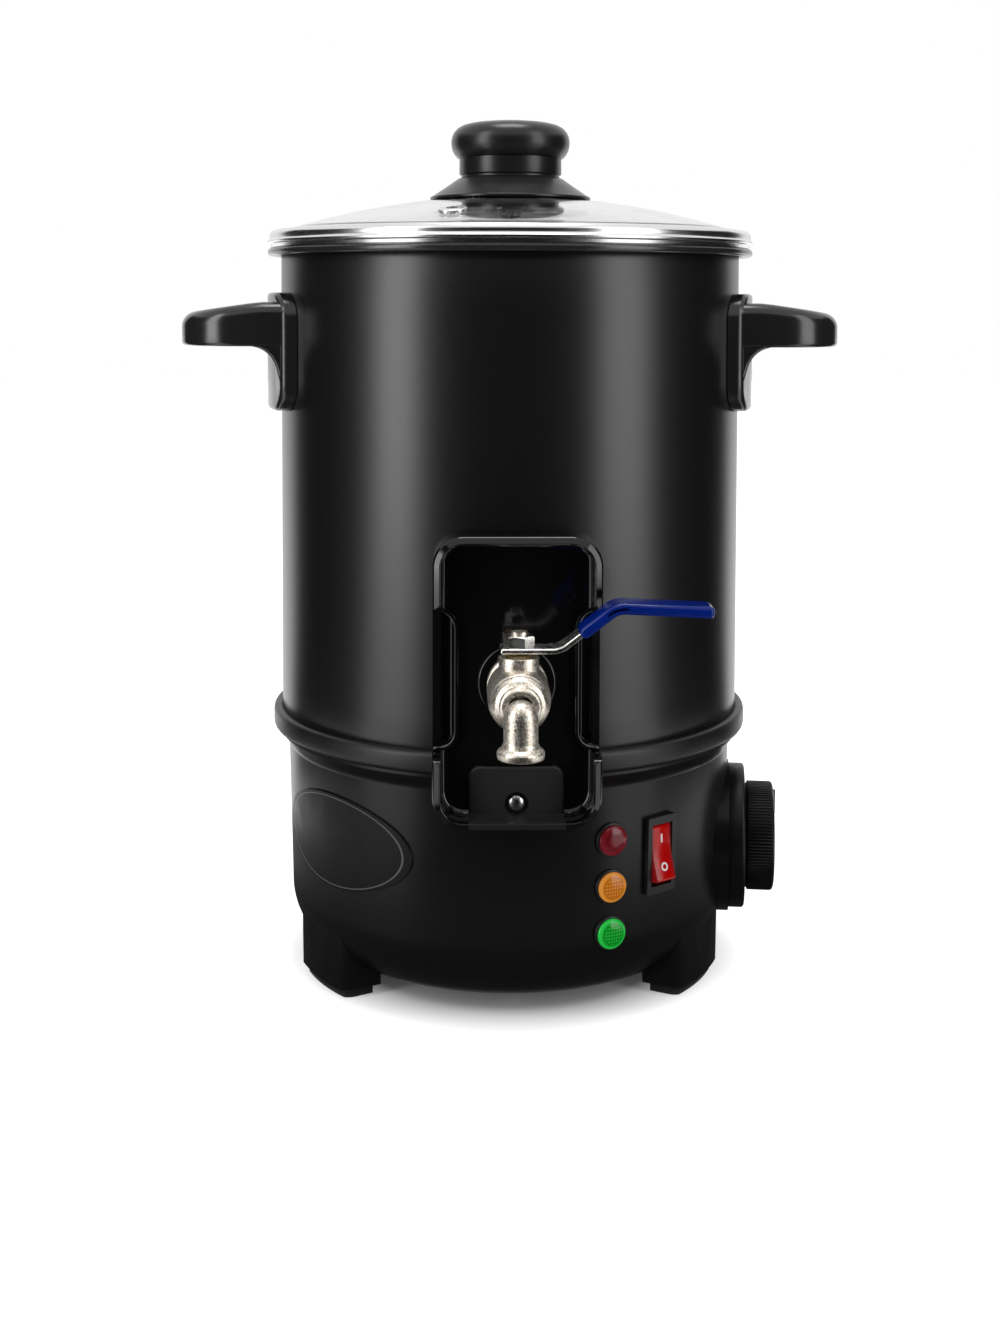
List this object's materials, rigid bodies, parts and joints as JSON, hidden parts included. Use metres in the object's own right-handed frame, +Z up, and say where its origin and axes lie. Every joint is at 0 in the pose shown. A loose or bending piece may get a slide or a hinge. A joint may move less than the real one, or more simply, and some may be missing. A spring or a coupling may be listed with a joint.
{
  "type": "candle wax melter",
  "caption": "Electric wax melting pot in a black jacket with a glass lid, two side handles, a temperature dial, a rocker switch and a guarded ball tap with a lever.",
  "frame": {"origin": "on the upright axis of the pot, on the surface that the four rubber feet stand on", "axes": "+Z up along the axis of the pot, -Y towards the tap at the front, +X to the right seen from the front"},
  "size_m": [0.282, 0.2673, 0.3674],
  "materials": {
    "base_plastic": "satin moulded black",
    "rubber": "matt",
    "steel_screws": "zinc plated",
    "ring_plastic": "satin",
    "coated_steel": "fine textured powder coat",
    "zinc_sheet": "mill",
    "pot_coating": "dark non-stick coating",
    "plate_aluminium": "cast",
    "element_steel": "drawn",
    "cutout_ceramic": "unglazed",
    "rim_chrome": "polished",
    "lid_glass": "clear",
    "eyelet_steel": "polished",
    "silicone": "matt",
    "knob_plastic": "satin",
    "handle_plastic": "satin",
    "guard_plastic": "gloss",
    "tap_nickel": "nickel plated",
    "white_plastic": "matt",
    "gland_brass": "turned",
    "blue_vinyl": "dipped vinyl",
    "lens_red": "translucent, unlit",
    "lens_amber": "translucent, lit",
    "lens_green": "translucent, lit",
    "small_black_plastic": "satin",
    "terminal_brass": "tinned",
    "rocker_red": "translucent",
    "dial_plastic": "satin",
    "thermostat_case": "mill",
    "plate_metal": "satin"
  },
  "bodies": {
    "housing": {"base_housing": "base_plastic", "bottom_cover": "base_plastic", "foot_pads": "rubber", "cover_screws": "steel_screws", "base_screws": "steel_screws", "guard_screw": "steel_screws", "handle_screws": "steel_screws", "inlet_screws": "steel_screws", "stud_nuts": "steel_screws", "thermostat_nut": "steel_screws", "seam_ring": "ring_plastic", "outer_jacket": "coated_steel", "heat_shield": "zinc_sheet", "inner_pot": "pot_coating", "heater_plate": "plate_aluminium", "heating_element": "element_steel", "thermostat_probe": "element_steel", "thermal_cutout": "cutout_ceramic", "tap_seals": "silicone", "right_handle": "handle_plastic", "left_handle": "handle_plastic", "tap_guard": "guard_plastic", "valve_body": "tap_nickel", "spacer_sleeve": "tap_nickel", "lock_nut": "tap_nickel", "spout": "tap_nickel", "ball_seats": "white_plastic", "stem_packing": "white_plastic", "gland_nut": "gland_brass", "lamp_lens_red": "lens_red", "lamp_lens_amber": "lens_amber", "lamp_lens_green": "lens_green", "lamp_holders": "small_black_plastic", "switch_housing": "small_black_plastic", "power_inlet": "small_black_plastic", "lamp_terminals": "terminal_brass", "switch_terminals": "terminal_brass", "inlet_pins": "terminal_brass", "dial_bezel": "dial_plastic", "thermostat_body": "thermostat_case", "oval_plate": "plate_metal"},
    "lid": {"lid_glass": "lid_glass", "lid_rim": "rim_chrome", "lid_gasket": "silicone", "lid_knob_foot": "knob_plastic", "lid_knob": "knob_plastic", "knob_screw": "steel_screws", "knob_washer": "steel_screws", "steam_eyelet": "eyelet_steel"},
    "tap_lever": {"lever": "tap_nickel", "lever_grip": "blue_vinyl", "lever_nut": "tap_nickel", "valve_stem": "tap_nickel", "valve_ball": "tap_nickel"},
    "dial": {"dial_knob": "dial_plastic", "thermostat_spindle": "element_steel"},
    "rocker": {"switch_rocker": "rocker_red"}
  },
  "joints": [
    {"name": "lid_lift", "type": "slide", "parent": "housing", "child": "lid", "axis": [0, 0, 1], "range_m": [0, 0.15]},
    {"name": "tap_turn", "type": "hinge", "parent": "housing", "child": "tap_lever", "pos_m": [0, -0.131, 0.142], "axis": [0, 0, 1], "range_deg": [-90, 0]},
    {"name": "dial_turn", "type": "hinge", "parent": "housing", "child": "dial", "pos_m": [0.09677, -0.01274, 0.0535], "axis": [0.9914, -0.1305, 0], "range_deg": [-270, 0]},
    {"name": "rocker_tilt", "type": "hinge", "parent": "housing", "child": "rocker", "pos_m": [0.05736, -0.07502, 0.06555], "axis": [0.7944, 0.6074, 0], "range_deg": [0, 22]}
  ]
}
